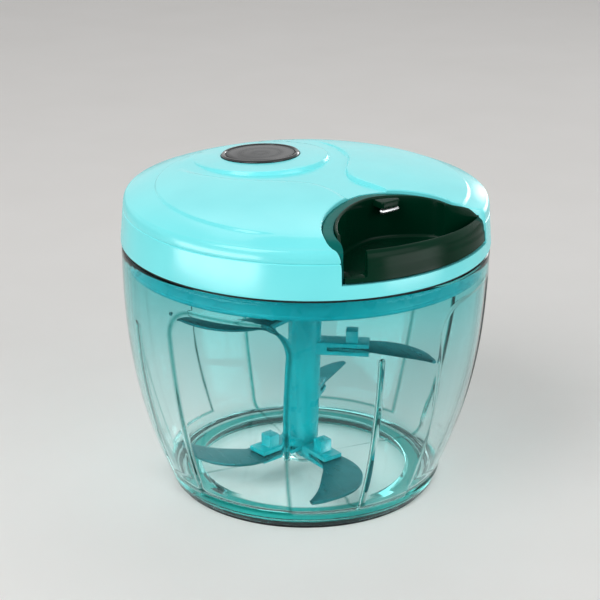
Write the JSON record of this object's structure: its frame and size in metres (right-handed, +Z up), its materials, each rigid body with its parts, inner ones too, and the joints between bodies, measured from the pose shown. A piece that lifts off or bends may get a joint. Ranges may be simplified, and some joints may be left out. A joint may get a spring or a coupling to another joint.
{
  "type": "manual vegetable chopper",
  "caption": "Hand-pulled chopper: clear tapered bowl, blade spindle inside, and a domed lid with a cord reel and a pull handle set in its edge.",
  "frame": {"origin": "centre of the base, at the level of the table", "axes": "+Z up along the spindle; the handle pulls out along -Y and the badge lies towards +Y"},
  "size_m": [0.134, 0.134, 0.119],
  "materials": {
    "black_rubber": "matt moulded rubber",
    "clear_teal_plastic": "clear moulded plastic with a teal tint",
    "aqua_plastic": "glossy moulded plastic",
    "teal_plastic": "satin moulded plastic",
    "dark_teal_plastic": "glossy moulded plastic",
    "dark_green_plastic": "glossy moulded plastic",
    "gloss_black_plastic": "polished moulded plastic",
    "dark_glassy_plastic": "polished moulded plastic",
    "stainless_steel": "rolled sheet, lightly brushed",
    "zinc_plated_steel": "bright zinc plate",
    "cream_nylon": "moulded nylon",
    "braided_cord": "braided cord"
  },
  "bodies": {
    "bowl": {"bowl": "clear_teal_plastic", "foot_ring": "black_rubber"},
    "lid": {"lid_cover": "aqua_plastic", "lid_base": "teal_plastic", "seal_ring": "black_rubber", "badge_bezel": "gloss_black_plastic", "badge_insert": "dark_glassy_plastic", "handle_cradle": "dark_teal_plastic", "cord_eyelet": "stainless_steel", "axle_bolt": "zinc_plated_steel", "lid_screw_1": "zinc_plated_steel", "lid_screw_2": "zinc_plated_steel", "lid_screw_3": "zinc_plated_steel", "lid_screw_4": "zinc_plated_steel", "pull_cord": "braided_cord"},
    "handle": {"handle": "dark_green_plastic", "cord_toggle": "stainless_steel"},
    "reel": {"reel": "teal_plastic", "cord_winding": "braided_cord", "pawl_ring": "cream_nylon", "power_spring": "stainless_steel", "spring_cap": "teal_plastic"},
    "drive_hub": {"drive_hub": "teal_plastic"},
    "blades": {"spindle": "teal_plastic", "blade_1": "stainless_steel", "blade_2": "stainless_steel", "blade_3": "stainless_steel", "blade_4": "stainless_steel", "blade_5": "stainless_steel"}
  },
  "joints": [
    {"name": "lid_lift", "type": "slide", "parent": "bowl", "child": "lid", "axis": [0, 0, 1], "range_m": [0, 0.12]},
    {"name": "handle_pull", "type": "slide", "parent": "lid", "child": "handle", "axis": [0, -1, 0], "range_m": [0, 0.3], "stiffness_N_per_m": 15, "springref_m": -0.2, "deforming": ["pull_cord"]},
    {"name": "reel_spin", "type": "hinge", "parent": "lid", "child": "reel", "pos_m": [0, 0, 0.1073], "axis": [0, 0, 1], "range_deg": [-890, 0]},
    {"name": "hub_spin", "type": "hinge", "parent": "lid", "child": "drive_hub", "pos_m": [0, 0, 0.0984], "axis": [0, 0, 1], "range_deg": [-890, 0]},
    {"name": "blade_spin", "type": "hinge", "parent": "bowl", "child": "blades", "pos_m": [0, 0, 0.0061], "axis": [0, 0, 1], "range_deg": [-890, 0]}
  ],
  "couplings": [
    {"joint": "reel_spin", "follows": "handle_pull", "rad_per_m": -51.28},
    {"joint": "hub_spin", "follows": "handle_pull", "rad_per_m": -51.28},
    {"joint": "blade_spin", "follows": "handle_pull", "rad_per_m": -51.28}
  ]
}
